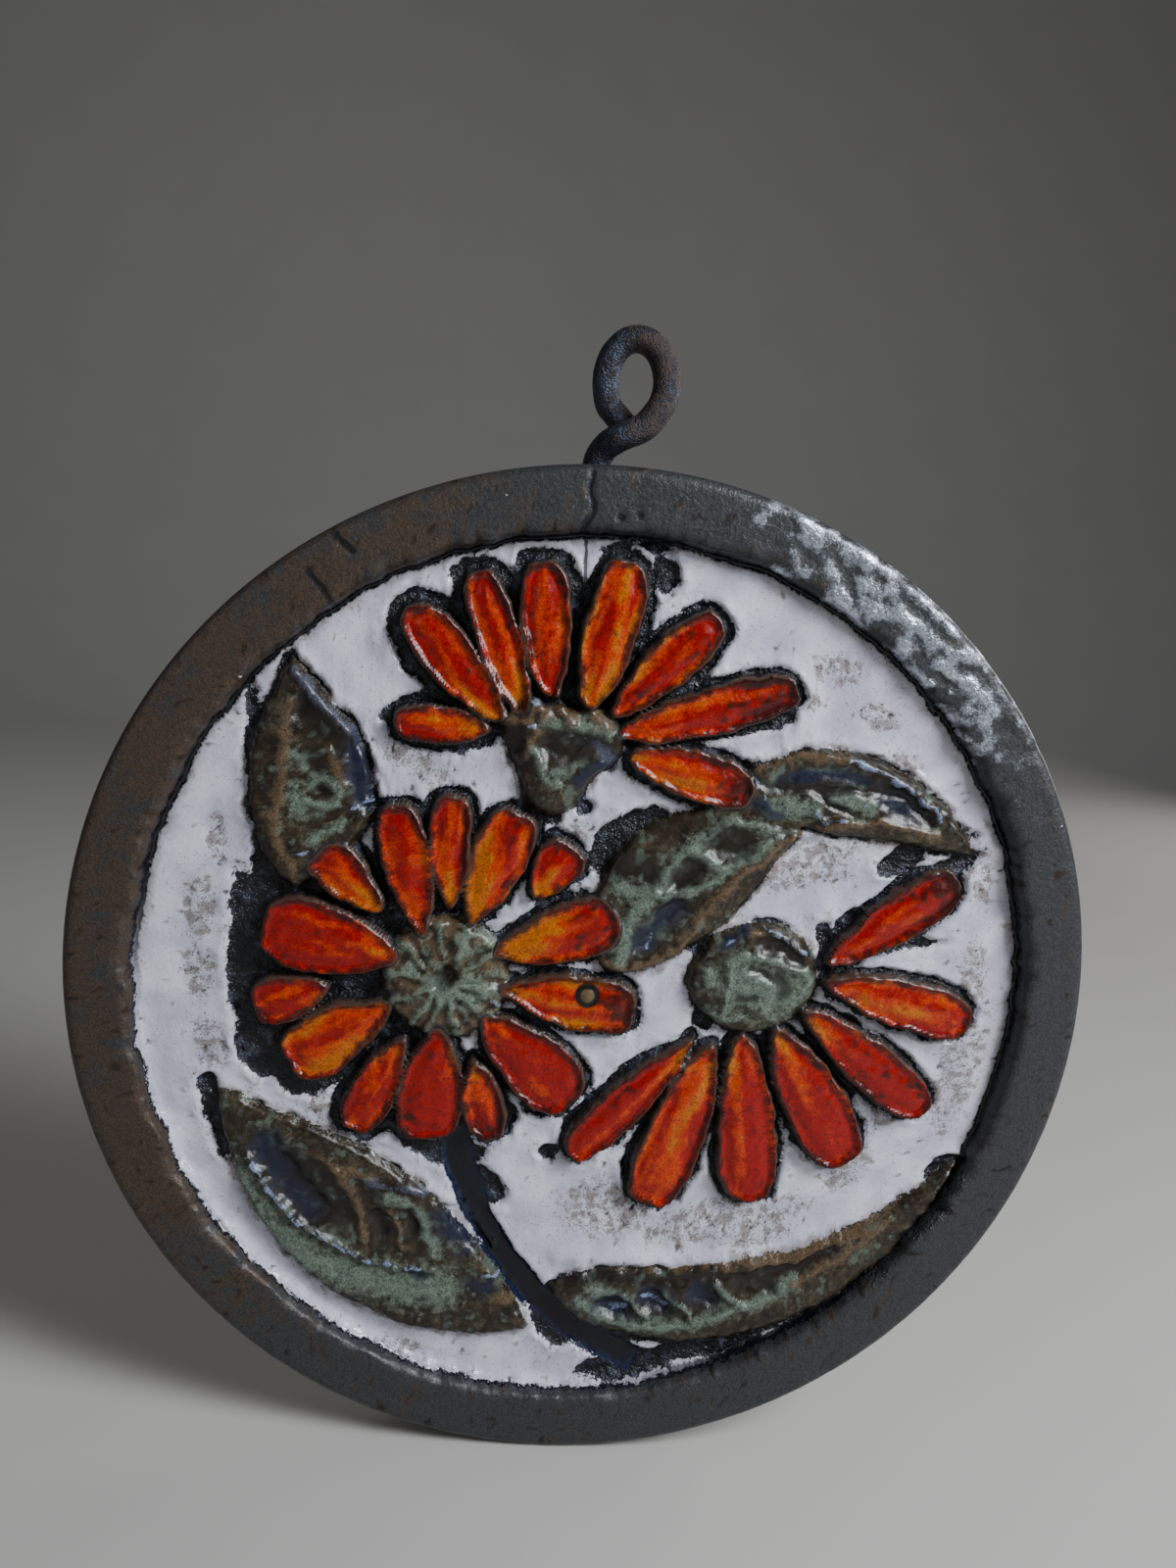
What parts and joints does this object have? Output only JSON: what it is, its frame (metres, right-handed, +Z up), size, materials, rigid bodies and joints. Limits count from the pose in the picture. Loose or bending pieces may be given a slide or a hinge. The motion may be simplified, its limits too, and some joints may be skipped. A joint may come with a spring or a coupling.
{
  "type": "wall plaque",
  "caption": "Round ceramic wall plaque with daisies and leaves in relief, a raised rim and an iron hanging loop.",
  "frame": {"origin": "the point inside the hanging loop's eye that bears on a nail, at its top", "axes": "+Z up, the face with the flowers looks along -Y, +X to the viewer's right"},
  "size_m": [0.28, 0.02, 0.3164],
  "materials": {
    "glazed_stoneware": "gloss",
    "rusted_iron": "matte"
  },
  "bodies": {
    "root": {"plaque_disc": "glazed_stoneware", "hanging_loop": "rusted_iron"}
  },
  "joints": []
}
